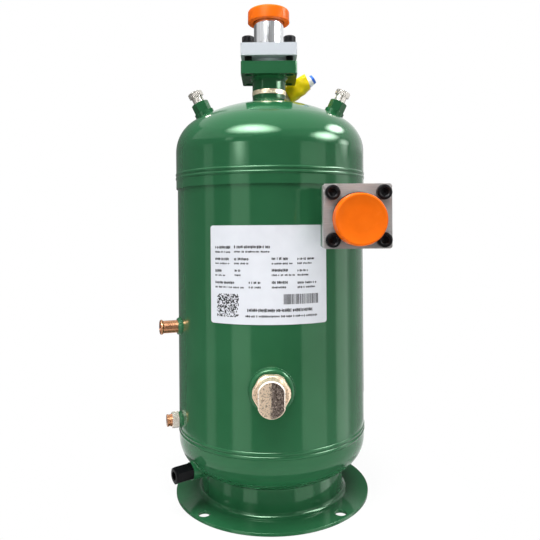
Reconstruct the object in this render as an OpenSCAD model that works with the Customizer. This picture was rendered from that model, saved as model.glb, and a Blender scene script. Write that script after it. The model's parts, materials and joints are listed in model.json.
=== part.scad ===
// Oil separator and oil reservoir for a refrigeration plant: an upright steel vessel on a foot ring,
// with a tangential gas inlet, a gas outlet on top, service valves, a relief valve and oil ports.
// The origin is the centre of the foot ring's underside, +Z is up and the label faces -Y.

/* [Vessel] */
// Outside diameter of the shell
shell_od = 245; // [225:1:270]
// Plate thickness of the shell and both heads
wall = 4; // [3:0.5:5]
// Length of the shell from its lower seam to the edge of the top head
shell_len = 310; // [290:1:360]
// Straight skirt of the bottom head
bottom_skirt = 12; // [8:1:20]
// Straight skirt of the top head
top_skirt = 48; // [42:1:60]
// How far the top head stands proud of the shell
head_step = 1.8; // [1:0.1:2.5]
// Length of the shell's necked end inside the top head
joggle_len = 26; // [20:1:36]
// Height of the weld ridges above the plate
weld_rise = 0.8; // [0.4:0.1:1.2]
// Distance between the two ridges of a seam
seam_ridge_pitch = 5; // [4:0.5:7]
// Height of the two ridges on the top head above its edge
head_ridge_z = 16; // [10:1:30]
// Space between the floor and the lowest point of the bottom head
ground_gap = 13.6; // [8:0.2:25]

/* [Foot ring] */
// Distance from the shell's outside in to the upright wall's outside
foot_inset = 29; // [26:0.5:34]
// Width of the flange outside the wall
foot_flange = 33.5; // [30:0.5:45]
// Plate thickness of the foot ring
foot_plate = 4; // [3:0.5:5]
// Radius of the bend between wall and flange
foot_bend = 6; // [5:0.5:9]
// Distance from a bolt hole's centre to the rim
foot_rim = 11; // [9:0.5:13]
// Diameter of the bolt holes
foot_hole_d = 14; // [9:0.5:15]
// Number of bolt holes
foot_holes = 4; // [3:1:8]

/* [Flange pairs] */
// Width of the flanges
flange_w = 73; // [70:1:84]
// Height of the flanges
flange_h = 69; // [66:1:80]
// Thickness of one flange
flange_t = 16; // [12:1:22]
// Corner radius of the flanges
flange_corner = 3; // [2:0.5:8]
// Screw spacing along the width
screw_pitch_w = 54; // [52:0.5:58]
// Screw spacing along the height
screw_pitch_h = 50; // [49:0.5:54]
// Gap between the two flanges
flange_gap = 7.7; // [5:0.1:10]
// Thickness of the gasket
gasket_t = 2; // [1:0.1:3]
// Outside diameter of the gasket and of the spigot that presses it
gasket_od = 43; // [41:0.5:46]
// Bore of the gas path
tube_bore = 35; // [28:0.5:36]
// Outside diameter of the stub tubes
stub_od = 40; // [38.5:0.1:41]
// Depth of a stub tube's seat in its flange
stub_seat = 9; // [5:0.5:11]
// Outside diameter of the necks
neck_od = 45; // [42:0.5:48]
// Leg of the weld fillets on the necks
neck_fillet = 3; // [2:0.5:5]

/* [Flange screws] */
// Thread diameter
screw_d = 10; // [8:0.5:10]
// Head diameter
screw_head_d = 16; // [13:0.5:17]
// Head height
screw_head_h = 10; // [8:0.5:12]
// Width across the flats of the hexagon socket
screw_socket = 8; // [5:0.5:8]
// Depth of the hexagon socket
screw_socket_depth = 5; // [4:0.5:6]
// Thread length in the neck flange
screw_bite = 13; // [9:0.5:15]
// Clearance of the front flange's holes on the thread diameter
screw_play = 1; // [0.4:0.1:1.5]

/* [Gas outlet] */
// Height of the outlet boss above the top of the dome
boss_rise = 8.6; // [7:0.2:14]
// How far the seal ring stands out of the neck
seal_ring_lip = 0.3; // [0.2:0.1:3]
// Height of the seal ring
seal_ring_h = 6.2; // [4:0.2:9]
// Neck length below the outlet flange
outlet_neck_len = 16.8; // [14:0.2:30]
// Length of the outlet stub above its flange
outlet_stub_len = 49; // [40:1:70]
// Leg of the weld fillet at the foot of the boss
boss_fillet = 3.5; // [2.5:0.5:5]

/* [Gas inlet] */
// Distance from the shell's outside in to the inlet axis
inlet_inset = 29.8; // [28:0.2:36]
// Distance from the top head's edge down to the inlet axis
inlet_drop = 38.6; // [36:0.2:60]
// How far the inlet's neck flange stands in front of the shell
inlet_stand = 2.5; // [1:0.5:20]
// Gap between the inlet cap and the screw heads
inlet_cap_gap = 0.4; // [0.3:0.1:6]

/* [Transit caps] */
// Outside diameter of the push-on caps
transit_od = 56; // [52:0.5:60]
// Bore of the push-on caps
transit_bore = 47.4; // [45:0.2:48]
// Length of the push-on caps
transit_len = 17; // [15:0.2:24]
// Thickness of the closed end
transit_end = 4; // [2.5:0.5:6]
// Radius of the outer edge at the closed end
transit_round = 4; // [1:0.5:5]

/* [Service valves] */
// Distance from the top head's outside in to the foot of a service valve
valve_inset = 39.3; // [37:0.1:50]
// How far the service valves are turned to the front
valve_swing = 7.7; // [0:0.1:15]
// Diameter of the weld pad
valve_pad_d = 26; // [25:0.5:30]
// Height of the weld pad
valve_pad_h = 6; // [4:0.5:8]
// Width across the flats of the valve body
valve_hex = 20; // [19:0.5:22]
// Height of the hexagon
valve_hex_h = 13.5; // [11:0.5:20]
// Diameter of the threaded nipple under the cap
valve_nipple_d = 10; // [8:0.5:11]
// Bore for the valve core
valve_bore = 5; // [4:0.2:6]
// Outside diameter of the cap's round skirt
valve_cap_skirt_d = 14.8; // [14:0.1:16]
// Height of the cap's round skirt
valve_cap_skirt_h = 7.5; // [5:0.5:9]
// Width across the flats of the cap
valve_cap_hex = 17; // [16:0.5:19]
// Height of the cap's hexagon
valve_cap_hex_h = 7.5; // [7:0.5:12]
// Thickness of the cap's closed end
valve_cap_end = 3; // [2:0.5:4]

/* [Relief valve] */
// Distance of the relief nozzle to the right of the vessel axis
relief_x = 12; // [8:0.5:14]
// Distance of the relief nozzle behind the vessel axis
relief_y = 49; // [48:0.5:56]
// Diameter of the nozzle
relief_nozzle_d = 20; // [18:0.5:22]
// Height of the nozzle above the dome
relief_nozzle_len = 6; // [5:0.5:10]
// Height from the nozzle to the elbow of the relief valve
relief_elbow = 9; // [8:0.5:14]
// Tilt of the relief valve's arm from upright, towards +X
relief_tilt = 55; // [50:0.5:58]
// Width across the flats of the arm
relief_hex = 17; // [15:0.5:18]
// Length of the arm
relief_arm_len = 52; // [46:0.5:60]
// Bore of the relief valve
relief_bore = 8; // [6:0.2:10]
// Distance from the elbow to the protective sleeve
relief_sleeve_start = 21; // [19:0.5:26]
// Thickness of the protective sleeve
relief_sleeve_t = 1; // [0.6:0.1:1.4]
// Length of the protective sleeve past the arm's end
relief_sleeve_over = 3; // [2:0.5:6]
// Diameter of the end plug
relief_plug_d = 15; // [13:0.5:16]
// Length of the end plug past the arm's end
relief_plug_len = 11; // [8:0.5:14]

/* [Oil return] */
// Direction of the oil return and of the lower port around the axis, from +X
oil_dir = 198; // [190:1:210]
// Height of the oil return above the lower seam
oil_z = 134; // [120:1:138]
// Outside diameter of the oil tube
oil_tube_od = 15.9; // [12.7:0.1:19]
// Wall of the oil tube
oil_tube_wall = 1; // [0.8:0.1:1.5]
// Length of the oil tube outside the shell
oil_stub_len = 25.4; // [22:0.2:50]
// Height of the bead above the tube
oil_bead_rise = 1.5; // [1:0.1:2]
// Length of the bead
oil_bead_len = 4; // [3:0.5:5]
// Diameter of the weld collar at the shell
oil_collar_d = 24; // [23:0.5:30]
// Length of the weld collar
oil_collar_len = 3.5; // [3:0.5:6]
// Radius of the bend in the oil tube
oil_bend = 30; // [26:1:36]
// Distance from the shell's outside in to the dip leg
oil_dip_inset = 52.5; // [49:0.5:60]
// Space between the dip leg and the bottom head
oil_dip_gap = 12; // [8:1:20]

/* [Lower oil port] */
// Height of the lower port above the lower seam
port_z = 15; // [14:0.5:40]
// Diameter of the port boss at the shell
port_boss_d = 21; // [20:0.5:26]
// Length of the port boss
port_boss_len = 3; // [2.5:0.5:8]
// Thread diameter of the plug
port_thread_d = 12; // [10:0.5:13]
// Width across the flats of the plug
port_hex = 18.5; // [17:0.5:20]
// Height of the plug's hexagon
port_hex_h = 8.5; // [7:0.5:12]
// Diameter of the plug's round end
port_end_d = 15; // [13:0.5:16]
// Length of the plug's round end
port_end_len = 6; // [4:0.5:8]
// Depth of the groove in the round end
port_groove = 0.8; // [0.5:0.1:1.2]

/* [Drain] */
// Direction of the drain around the axis, from +X
drain_dir = 216; // [212:1:225]
// Distance of the drain axis below the bottom head's tangent line
drain_drop = 25; // [20:0.5:28]
// Diameter of the drain nozzle
drain_d = 21; // [20:0.5:24]
// How far the drain nozzle's face stands outside the shell
drain_stand = 0.5; // [0:0.1:6]
// Bore of the drain
drain_bore = 6; // [4:0.5:7]
// Diameter of the threaded end under the cap
drain_thread_d = 12; // [10:0.5:13]
// Length of the threaded end
drain_thread_len = 12; // [9:0.5:14]
// Width across the flats of the drain cap
drain_cap_w = 18.5; // [18:0.5:22]
// Length of the drain cap
drain_cap_len = 22; // [21:0.5:28]
// Diameter of the recess in the cap's end
drain_recess_d = 10; // [8:0.5:12]
// Depth of the recess in the cap's end
drain_recess_depth = 6; // [4:0.5:8]

/* [Level port] */
// Height of the level port above the lower seam
level_z = 75; // [60:1:90]
// Diameter of the boss
level_boss_d = 52; // [50:1:58]
// How far the boss's face stands outside the shell
level_boss_rise = 5; // [4:0.5:8]
// Radius of the boss's outer edge
level_boss_round = 4; // [2:0.5:4]
// Thread diameter of the plug
level_thread_d = 27; // [22:0.5:28]
// Thread length of the plug
level_thread_len = 14; // [10:0.5:16]
// Diameter of the sealing washer
level_washer_d = 37; // [34:0.5:38]
// Thickness of the sealing washer
level_washer_t = 1.5; // [1:0.1:3]
// Width across the flats of the plug's hexagon
level_hex = 38; // [36:0.5:41]
// Height of the plug's hexagon
level_hex_h = 9; // [7:0.5:12]
// Width of the plug's flat-sided head
level_head_w = 29; // [27:0.5:31]
// Height of the plug's flat-sided head
level_head_h = 40; // [38:0.5:43]
// Length of the plug's head
level_head_len = 21; // [14:0.5:26]
// Radius of the head's round ends
level_head_r = 16.5; // [16:0.5:17.5]

/* [Label] */
// Angle from the front to the label's left edge
label_left = 34.7; // [20:0.1:36]
// Angle from the front to the label's right edge
label_right = 31.9; // [20:0.1:32]
// Height of the label
label_h = 113; // [80:1:116]
// Height of the label's lower edge above the lower seam
label_z = 149.5; // [140:0.5:160]
// Thickness of the label
label_t = 0.4; // [0.3:0.1:0.6]
// Corner radius of the label
label_corner = 3; // [1:0.5:6]

/* [Inside] */
// Outside diameter of the gas tube below the outlet
gas_tube_od = 42; // [40:0.5:46]
// Wall of the gas tube
gas_tube_wall = 2.5; // [2:0.1:3]
// Length of the gas tube
gas_tube_len = 190; // [160:1:230]
// Height of the baffle plate above the lower seam
baffle_z = 165; // [160:1:190]
// Thickness of the baffle plate
baffle_t = 3; // [2:0.5:4]
// Gap between the baffle plate and the shell
baffle_gap = 8; // [5:0.5:12]
// Number of lugs that carry the baffle plate
baffle_lugs = 3; // [3:1:6]
// Width of a lug
baffle_lug_w = 16; // [10:1:24]
// Diameter of the oil holes in the baffle plate
baffle_hole_d = 14; // [8:0.5:16]
// Number of oil holes
baffle_holes = 12; // [6:1:16]

/* [Fits] */
// Radial clearance of tubes, threads and screws in their seats
fit = 0.1; // [0.05:0.01:0.2]
// Clearance around pieces that turn
turn_gap = 0.3; // [0.3:0.05:0.5]

/* [Hidden] */
$fn = 96;

green = "#2f6b47";
steel = "#b9b9b4";
orange = "#f47a24";
black = "#1c1c1e";
nickel = "#cdc3b2";
brass = "#c9a878";
copper = "#b9714a";
yellow = "#f2d21b";
blue = "#2b62c9";
white = "#f4f4f2";
fibre = "#6f7478";

// Overlap that keeps cuts clear of coincident faces
cut = 1;
// Length of a cut that passes right through a flange or a wall
through = 200;

shell_r = shell_od / 2;
head_r = shell_r + head_step;
joggle_r = head_r - wall - fit;

// Dished heads: crown radius and knuckle radius as shares of the diameter
crown_share = 0.8;
bottom_knuckle = 0.154;
top_knuckle = 0.19;
function crown_radius(r) = crown_share * 2 * r;
function knuckle_radius(r, share) = share * 2 * r;
function knuckle_centre(r, share) = r - knuckle_radius(r, share);
function crown_drop(r, share) = sqrt(
    pow(crown_radius(r) - knuckle_radius(r, share), 2) - pow(knuckle_centre(r, share), 2));
function head_depth(r, share) = crown_radius(r) - crown_drop(r, share);

bottom_tangent_z = ground_gap + head_depth(shell_r, bottom_knuckle);
seam_z = bottom_tangent_z + bottom_skirt;
edge_z = seam_z + shell_len;
top_tangent_z = edge_z + top_skirt;
apex_z = top_tangent_z + head_depth(head_r, top_knuckle);
crown_z = apex_z - crown_radius(head_r);

foot_wall_r = shell_r - foot_inset;
foot_r = foot_wall_r + foot_flange;
foot_bolt_r = foot_r - foot_rim;

tube_r = tube_bore / 2;
neck_r = neck_od / 2;
seal_ring_od = neck_od + 2 * seal_ring_lip;
spigot_h = flange_gap - gasket_t;
front_flange_z = flange_t + flange_gap;
flange_stack = front_flange_z + flange_t;
boss_top_z = apex_z + boss_rise;
outlet_z = boss_top_z + seal_ring_h + outlet_neck_len;

inlet_x = shell_r - inlet_inset;
inlet_z = edge_z - inlet_drop;
inlet_y = -(shell_r + inlet_stand);
// The inlet cap's rim stays in front of the screw heads
inlet_stub_len = screw_head_h + inlet_cap_gap + transit_len - transit_end;
// The inlet cap hangs on its stub
transit_droop = (transit_bore - stub_od) / 2 - fit;

valve_radius = head_r - valve_inset;
valve_tilt = asin(valve_radius / crown_radius(head_r));
valve_seat_z = valve_pad_h + valve_hex_h;
valve_cap_depth = valve_cap_skirt_h + valve_cap_hex_h - valve_cap_end;
valve_nipple_len = valve_cap_depth - turn_gap;

relief_base_z = crown_z + sqrt(pow(crown_radius(head_r), 2) - pow(relief_x, 2) - pow(relief_y, 2));
relief_elbow_z = relief_base_z + relief_nozzle_len + relief_elbow;

oil_tube_r = oil_tube_od / 2;
oil_axis_z = seam_z + oil_z;
oil_dip_radius = shell_r - oil_dip_inset;
oil_bend_x = oil_dip_radius + oil_bend;
// Inside of the bottom head at the dip leg
dip_floor_z = bottom_tangent_z + crown_drop(shell_r, bottom_knuckle)
    - sqrt(pow(crown_radius(shell_r) - wall, 2) - pow(oil_dip_radius, 2));
oil_dip_z = dip_floor_z + oil_dip_gap;

drain_z = bottom_tangent_z - drain_drop;
drain_face_r = shell_r + drain_stand;
front_dir = 270;
level_face_r = shell_r + level_boss_rise;
level_seat_r = level_face_r + level_washer_t;

label_lift = 0.05;

// Half outline of a dished head above its tangent line, with a straight skirt below it
module head_outline(r, share, inset, skirt) {
    crown = crown_radius(r);
    centre = knuckle_centre(r, share);
    drop = crown_drop(r, share);
    reach = 2 * crown;
    intersection() {
        translate([0, -drop])
            circle(crown - inset, $fn = 360);
        polygon([[0, 0], [centre, 0], [centre * reach / drop, reach - drop], [0, reach]]);
    }
    intersection() {
        translate([centre, 0])
            circle(knuckle_radius(r, share) - inset);
        translate([centre, 0])
            square(knuckle_radius(r, share));
    }
    translate([0, -skirt])
        square([r - inset, skirt]);
}

// Ridge of a weld or a rolled bead on a wall of radius r
module ridge(r, z, rise, width) {
    ridge_r = (pow(width / 2, 2) + pow(rise, 2)) / (2 * rise);
    translate([r + rise - ridge_r, z])
        circle(ridge_r);
}

module seam_ridge(z) {
    ridge(shell_r, z, weld_rise, seam_ridge_pitch - 1);
}

// Outside of the whole vessel as one solid, which the bosses and nozzles are cut to
module vessel_envelope() {
    rotate_extrude($fn = 360) {
        translate([0, bottom_tangent_z])
            mirror([0, 1])
                head_outline(shell_r, bottom_knuckle, 0, bottom_skirt);
        translate([0, seam_z])
            square([shell_r, shell_len]);
        intersection() {
            union() {
                seam_ridge(seam_z - seam_ridge_pitch / 2);
                seam_ridge(seam_z + seam_ridge_pitch / 2);
            }
            translate([0, seam_z - through / 2])
                square([2 * shell_r, through]);
        }
        translate([0, top_tangent_z])
            head_outline(head_r, top_knuckle, 0, top_skirt);
    }
}

// Puts a piece on the shell with its +Z pointing outwards, at the vessel axis
module outwards(dir, z) {
    translate([0, 0, z])
        rotate([0, 0, dir])
            rotate([0, 90, 0])
                children();
}

// Puts a piece on the dome, square to its surface; side is 1 on the right and -1 on the left
module on_dome(side) {
    turn = side > 0 ? -valve_swing : 180 + valve_swing;
    translate([0, 0, crown_z])
        rotate([0, 0, turn])
            rotate([0, valve_tilt, 0])
                translate([0, 0, crown_radius(head_r)])
                    children();
}

// Puts a piece on the relief nozzle's axis, with z = 0 on the dome
module on_relief() {
    translate([relief_x, relief_y, relief_base_z])
        children();
}

// Puts a piece on the axis of the relief valve's arm, with z = 0 at the elbow
module on_relief_arm() {
    translate([relief_x, relief_y, relief_elbow_z])
        rotate([0, relief_tilt, 0])
            children();
}

// Puts a piece on a flange pair, with z = 0 at the back of the neck flange
module at_outlet() {
    translate([0, 0, outlet_z])
        children();
}

module at_inlet() {
    translate([inlet_x, inlet_y, inlet_z])
        rotate([90, 0, 0])
            children();
}

module tube(od, id, h) {
    difference() {
        cylinder(d = od, h = h);
        translate([0, 0, -cut])
            cylinder(d = id, h = h + 2 * cut);
    }
}

// Hexagon head with its corners turned off at the top
module hex_head(width, h, chamfer) {
    corner = width / 2 / cos(30);
    intersection() {
        cylinder(r = corner, h = h, $fn = 6);
        rotate_extrude()
            polygon([[0, 0], [corner, 0], [corner, h - chamfer], [corner - 2 * chamfer, h], [0, h]]);
    }
}

// Foot ring and vessel

module foot_ring() {
    bend_centre = [foot_wall_r + foot_bend, foot_plate + foot_bend];
    inner_r = foot_wall_r - foot_plate;
    color(green)
        difference() {
            rotate_extrude()
                difference() {
                    union() {
                        translate([inner_r, 0])
                            square([foot_plate, bottom_tangent_z]);
                        translate([inner_r, 0])
                            square([foot_plate + foot_bend, foot_plate + foot_bend]);
                        translate([foot_wall_r, 0])
                            square([foot_flange, foot_plate]);
                    }
                    translate(bend_centre)
                        circle(foot_bend);
                    difference() {
                        translate([inner_r - cut, -cut])
                            square([foot_plate + foot_bend + cut, foot_plate + foot_bend + cut]);
                        translate(bend_centre)
                            circle(foot_bend + foot_plate);
                    }
                }
            vessel_envelope();
            for (i = [0 : foot_holes - 1])
                rotate([0, 0, 45 + 360 / foot_holes * i])
                    translate([foot_bolt_r, 0, -cut])
                        cylinder(d = foot_hole_d, h = foot_plate + 2 * cut);
        }
}

module bottom_head() {
    color(green)
        difference() {
            rotate_extrude()
                difference() {
                    union() {
                        translate([0, bottom_tangent_z])
                            mirror([0, 1])
                                head_outline(shell_r, bottom_knuckle, 0, bottom_skirt);
                        intersection() {
                            seam_ridge(seam_z - seam_ridge_pitch / 2);
                            square([2 * shell_r, seam_z]);
                        }
                    }
                    translate([0, bottom_tangent_z])
                        mirror([0, 1])
                            head_outline(shell_r, bottom_knuckle, wall, bottom_skirt + cut);
                }
            outwards(drain_dir, drain_z)
                cylinder(d = drain_bore, h = shell_r + through);
        }
}

module shell() {
    neck_in = shell_r - joggle_r;
    color(green)
        difference() {
            rotate_extrude() {
                polygon([
                    [shell_r - wall, seam_z],
                    [shell_r, seam_z],
                    [shell_r, edge_z],
                    [joggle_r, edge_z],
                    [joggle_r, edge_z + joggle_len],
                    [joggle_r - wall, edge_z + joggle_len],
                    [joggle_r - wall, edge_z],
                    [shell_r - wall, edge_z - neck_in]
                ]);
                intersection() {
                    seam_ridge(seam_z + seam_ridge_pitch / 2);
                    translate([shell_r - wall, seam_z])
                        square([2 * wall, shell_len]);
                }
            }
            at_inlet()
                translate([0, 0, inlet_y])
                    cylinder(r = tube_r, h = -inlet_y);
            outwards(oil_dir, oil_axis_z)
                cylinder(r = oil_tube_r + fit, h = shell_r + through);
            outwards(oil_dir, seam_z + port_z)
                cylinder(d = port_thread_d + 2 * fit, h = shell_r + through);
            outwards(front_dir, seam_z + level_z)
                cylinder(d = level_thread_d + 2 * fit, h = shell_r + through);
        }
}

module top_head() {
    color(green)
        difference() {
            rotate_extrude()
                difference() {
                    translate([0, top_tangent_z])
                        union() {
                            head_outline(head_r, top_knuckle, 0, top_skirt);
                            for (side = [-1, 1])
                                ridge(head_r, head_ridge_z - top_skirt + side * seam_ridge_pitch / 2,
                                    weld_rise, seam_ridge_pitch - 1);
                        }
                    translate([0, top_tangent_z])
                        head_outline(head_r, top_knuckle, wall, top_skirt + cut);
                }
            translate([0, 0, crown_z])
                cylinder(r = tube_r, h = crown_radius(head_r) + cut);
            for (side = [-1, 1])
                on_dome(side)
                    translate([0, 0, -through / 2])
                        cylinder(d = valve_bore, h = through);
            on_relief()
                translate([0, 0, -through / 4])
                    cylinder(d = relief_bore, h = through / 2);
        }
}

module label() {
    color(white)
        intersection() {
            translate([0, 0, seam_z + label_z])
                rotate([0, 0, front_dir - label_left])
                    rotate_extrude(angle = label_left + label_right)
                        translate([shell_r + label_lift, 0])
                            square([label_t, label_h]);
            translate([0, 0, seam_z + label_z])
                rotate([90, 0, 0])
                    linear_extrude(height = 2 * shell_r)
                        label_face();
        }
}

// Front view of the label with its round corners
module label_face() {
    left = shell_r * sin(label_left);
    right = shell_r * sin(label_right);
    translate([-left, label_corner])
        square([left + right, label_h - 2 * label_corner]);
    translate([label_corner - left, 0])
        square([left + right - 2 * label_corner, label_h]);
    for (x = [label_corner - left, right - label_corner])
        for (y = [label_corner, label_h - label_corner])
            translate([x, y])
                circle(label_corner);
}

// Flange pairs

module flange_plate() {
    linear_extrude(height = flange_t) {
        square([flange_w - 2 * flange_corner, flange_h], center = true);
        square([flange_w, flange_h - 2 * flange_corner], center = true);
        for (x = [-1, 1])
            for (y = [-1, 1])
                translate([x * (flange_w / 2 - flange_corner), y * (flange_h / 2 - flange_corner)])
                    circle(flange_corner);
    }
}

module at_screws() {
    for (x = [-1, 1])
        for (y = [-1, 1])
            translate([x * screw_pitch_w / 2, y * screw_pitch_h / 2, 0])
                children();
}

// Neck flange with its neck below z = 0
module neck_flange(neck_len) {
    difference() {
        union() {
            flange_plate();
            translate([0, 0, -neck_len])
                cylinder(r = neck_r, h = neck_len);
            translate([0, 0, -neck_fillet])
                cylinder(r1 = neck_r, r2 = neck_r + neck_fillet, h = neck_fillet);
        }
        translate([0, 0, -neck_len - cut])
            cylinder(r = tube_r, h = neck_len + flange_t + 2 * cut);
        at_screws()
            translate([0, 0, -cut])
                cylinder(d = screw_d + 2 * fit, h = flange_t + 2 * cut);
    }
}

module gasket() {
    translate([0, 0, flange_t])
        tube(gasket_od, tube_bore, gasket_t);
}

module front_flange() {
    difference() {
        union() {
            translate([0, 0, front_flange_z])
                flange_plate();
            translate([0, 0, flange_t + gasket_t])
                cylinder(d = gasket_od, h = spigot_h);
        }
        translate([0, 0, flange_t])
            cylinder(r = tube_r, h = flange_stack);
        translate([0, 0, flange_stack - stub_seat])
            cylinder(d = stub_od + 2 * fit, h = stub_seat + cut);
        at_screws()
            translate([0, 0, front_flange_z - cut])
                cylinder(d = screw_d + screw_play, h = flange_t + 2 * cut);
    }
}

module stub(len) {
    translate([0, 0, flange_stack - stub_seat])
        tube(stub_od, tube_bore, stub_seat + len);
}

// Socket-head screws that hold the front flange to the neck flange
module flange_screws() {
    head_round = 1;
    at_screws()
        translate([0, 0, flange_stack])
            difference() {
                union() {
                    rotate_extrude() {
                        square([screw_head_d / 2 - head_round, screw_head_h]);
                        square([screw_head_d / 2, screw_head_h - head_round]);
                        translate([screw_head_d / 2 - head_round, screw_head_h - head_round])
                            circle(head_round);
                    }
                    translate([0, 0, -flange_t - flange_gap - screw_bite])
                        cylinder(d = screw_d, h = flange_t + flange_gap + screw_bite);
                }
                translate([0, 0, screw_head_h - screw_socket_depth])
                    cylinder(d = screw_socket / cos(30), h = screw_socket_depth + cut, $fn = 6);
            }
}

// Push-on cap whose closed end lies on a stub of the given length
module transit_cap(len) {
    outer = transit_od / 2;
    translate([0, 0, flange_stack + len + transit_end - transit_len])
        difference() {
            rotate_extrude() {
                square([outer, transit_len - transit_round]);
                square([outer - transit_round, transit_len]);
                translate([outer - transit_round, transit_len - transit_round])
                    circle(transit_round);
            }
            translate([0, 0, -cut])
                cylinder(d = transit_bore, h = transit_len - transit_end + cut);
        }
}

// Gas outlet

module outlet_boss() {
    fillet_r = neck_r + 2 * boss_fillet;
    color(green)
        rotate_extrude()
            difference() {
                union() {
                    translate([tube_r, top_tangent_z])
                        square([neck_r - tube_r, boss_top_z - top_tangent_z]);
                    polygon([
                        [tube_r, apex_z - boss_fillet],
                        [fillet_r, apex_z - boss_fillet],
                        [neck_r, apex_z + boss_fillet],
                        [tube_r, apex_z + boss_fillet]
                    ]);
                }
                translate([0, crown_z])
                    circle(crown_radius(head_r), $fn = 360);
            }
}

module outlet_seal_ring() {
    color(brass)
        translate([0, 0, boss_top_z])
            tube(seal_ring_od, tube_bore, seal_ring_h);
}

module outlet_neck_flange() {
    color(green)
        at_outlet()
            neck_flange(outlet_neck_len);
}

module outlet_gasket() {
    color(fibre)
        at_outlet()
            gasket();
}

module outlet_flange() {
    color(steel)
        at_outlet()
            front_flange();
}

module outlet_stub() {
    color(steel)
        at_outlet()
            stub(outlet_stub_len);
}

module outlet_screws() {
    color(black)
        at_outlet()
            flange_screws();
}

module outlet_cap() {
    color(orange)
        at_outlet()
            transit_cap(outlet_stub_len);
}

// Gas inlet

module inlet_neck_flange() {
    color(green)
        difference() {
            at_inlet()
                neck_flange(-inlet_y);
            vessel_envelope();
        }
}

module inlet_gasket() {
    color(fibre)
        at_inlet()
            gasket();
}

module inlet_flange() {
    color(steel)
        at_inlet()
            front_flange();
}

module inlet_stub() {
    color(steel)
        at_inlet()
            stub(inlet_stub_len);
}

module inlet_screws() {
    color(black)
        at_inlet()
            flange_screws();
}

module inlet_cap() {
    color(orange)
        translate([0, 0, -transit_droop])
            at_inlet()
                transit_cap(inlet_stub_len);
}

// Service valves

module valve_body() {
    difference() {
        union() {
            translate([0, 0, -valve_pad_h])
                cylinder(d = valve_pad_d, h = 2 * valve_pad_h);
            translate([0, 0, valve_pad_h])
                hex_head(valve_hex, valve_hex_h, 1);
            translate([0, 0, valve_seat_z])
                cylinder(d = valve_nipple_d, h = valve_nipple_len);
        }
        translate([0, 0, -crown_radius(head_r)])
            sphere(crown_radius(head_r), $fn = 360);
        translate([0, 0, -2 * valve_pad_h])
            cylinder(d = valve_bore, h = through);
    }
}

// Core with its seat collar and the pin in its middle
module valve_core() {
    collar_h = 3;
    core_r = valve_bore / 2 - fit;
    translate([0, 0, valve_pad_h])
        rotate_extrude()
            polygon([
                [0, 0],
                [core_r, 0],
                [core_r, valve_hex_h],
                [core_r / 2, valve_hex_h + collar_h],
                [core_r / 2, valve_hex_h + 2 * collar_h],
                [0, valve_hex_h + 2 * collar_h]
            ]);
}

module valve_cap() {
    chamfer = 1.2;
    translate([0, 0, valve_seat_z + turn_gap])
        difference() {
            union() {
                cylinder(d = valve_cap_skirt_d, h = valve_cap_skirt_h);
                translate([0, 0, valve_cap_skirt_h])
                    hex_head(valve_cap_hex, valve_cap_hex_h, chamfer);
            }
            translate([0, 0, -cut])
                cylinder(d = valve_nipple_d + 2 * turn_gap, h = valve_cap_depth + cut);
        }
}

module left_valve_body() {
    color(green)
        on_dome(-1)
            valve_body();
}

module left_valve_core() {
    color(brass)
        on_dome(-1)
            valve_core();
}

module left_valve_cap() {
    color(nickel)
        on_dome(-1)
            valve_cap();
}

module right_valve_body() {
    color(green)
        on_dome(1)
            valve_body();
}

module right_valve_core() {
    color(brass)
        on_dome(1)
            valve_core();
}

module right_valve_cap() {
    color(nickel)
        on_dome(1)
            valve_cap();
}

// Relief valve

module relief_nozzle() {
    color(green)
        difference() {
            on_relief()
                translate([0, 0, -relief_nozzle_d])
                    tube(relief_nozzle_d, relief_bore, relief_nozzle_d + relief_nozzle_len);
            vessel_envelope();
        }
}

module relief_valve() {
    body_d = relief_hex + 2;
    neck_len = relief_sleeve_start - 4;
    color(brass)
        difference() {
            union() {
                on_relief()
                    translate([0, 0, relief_nozzle_len])
                        cylinder(d = body_d, h = 2 * relief_elbow);
                on_relief_arm() {
                    cylinder(d = relief_hex - 1, h = neck_len + cut);
                    translate([0, 0, neck_len])
                        hex_head(relief_hex, relief_arm_len - neck_len, 1);
                }
            }
            on_relief()
                translate([0, 0, relief_nozzle_len - cut])
                    cylinder(d = relief_bore + 1, h = relief_elbow + relief_bore / 2 + cut);
            on_relief_arm()
                cylinder(d = relief_bore, h = relief_arm_len + cut);
        }
}

// The sleeve's eight flats bear on the arm's corners
module relief_sleeve() {
    inner = (relief_hex / cos(30) + 2 * fit) / cos(22.5);
    outer = inner + 2 * relief_sleeve_t / cos(22.5);
    sleeve_len = relief_arm_len - relief_sleeve_start + relief_sleeve_over;
    color(yellow)
        on_relief_arm()
            translate([0, 0, relief_sleeve_start])
                difference() {
                    cylinder(d = outer, h = sleeve_len, $fn = 8);
                    translate([0, 0, -cut])
                        cylinder(d = inner, h = sleeve_len + 2 * cut, $fn = 8);
                }
}

module relief_plug() {
    shank_len = 8;
    color(blue)
        on_relief_arm()
            translate([0, 0, relief_arm_len]) {
                cylinder(d1 = relief_plug_d, d2 = relief_plug_d - 2, h = relief_plug_len);
                translate([0, 0, -shank_len])
                    cylinder(d = relief_bore - 2 * fit, h = shank_len);
            }
}

// Oil return

module oil_collar() {
    color(green)
        difference() {
            outwards(oil_dir, oil_axis_z)
                translate([0, 0, shell_r - oil_collar_len])
                    cylinder(
                        d1 = oil_collar_d + oil_collar_len, d2 = oil_tube_od + 4, h = 2 * oil_collar_len);
            vessel_envelope();
            outwards(oil_dir, oil_axis_z)
                cylinder(r = oil_tube_r + fit, h = shell_r + through);
        }
}

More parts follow.
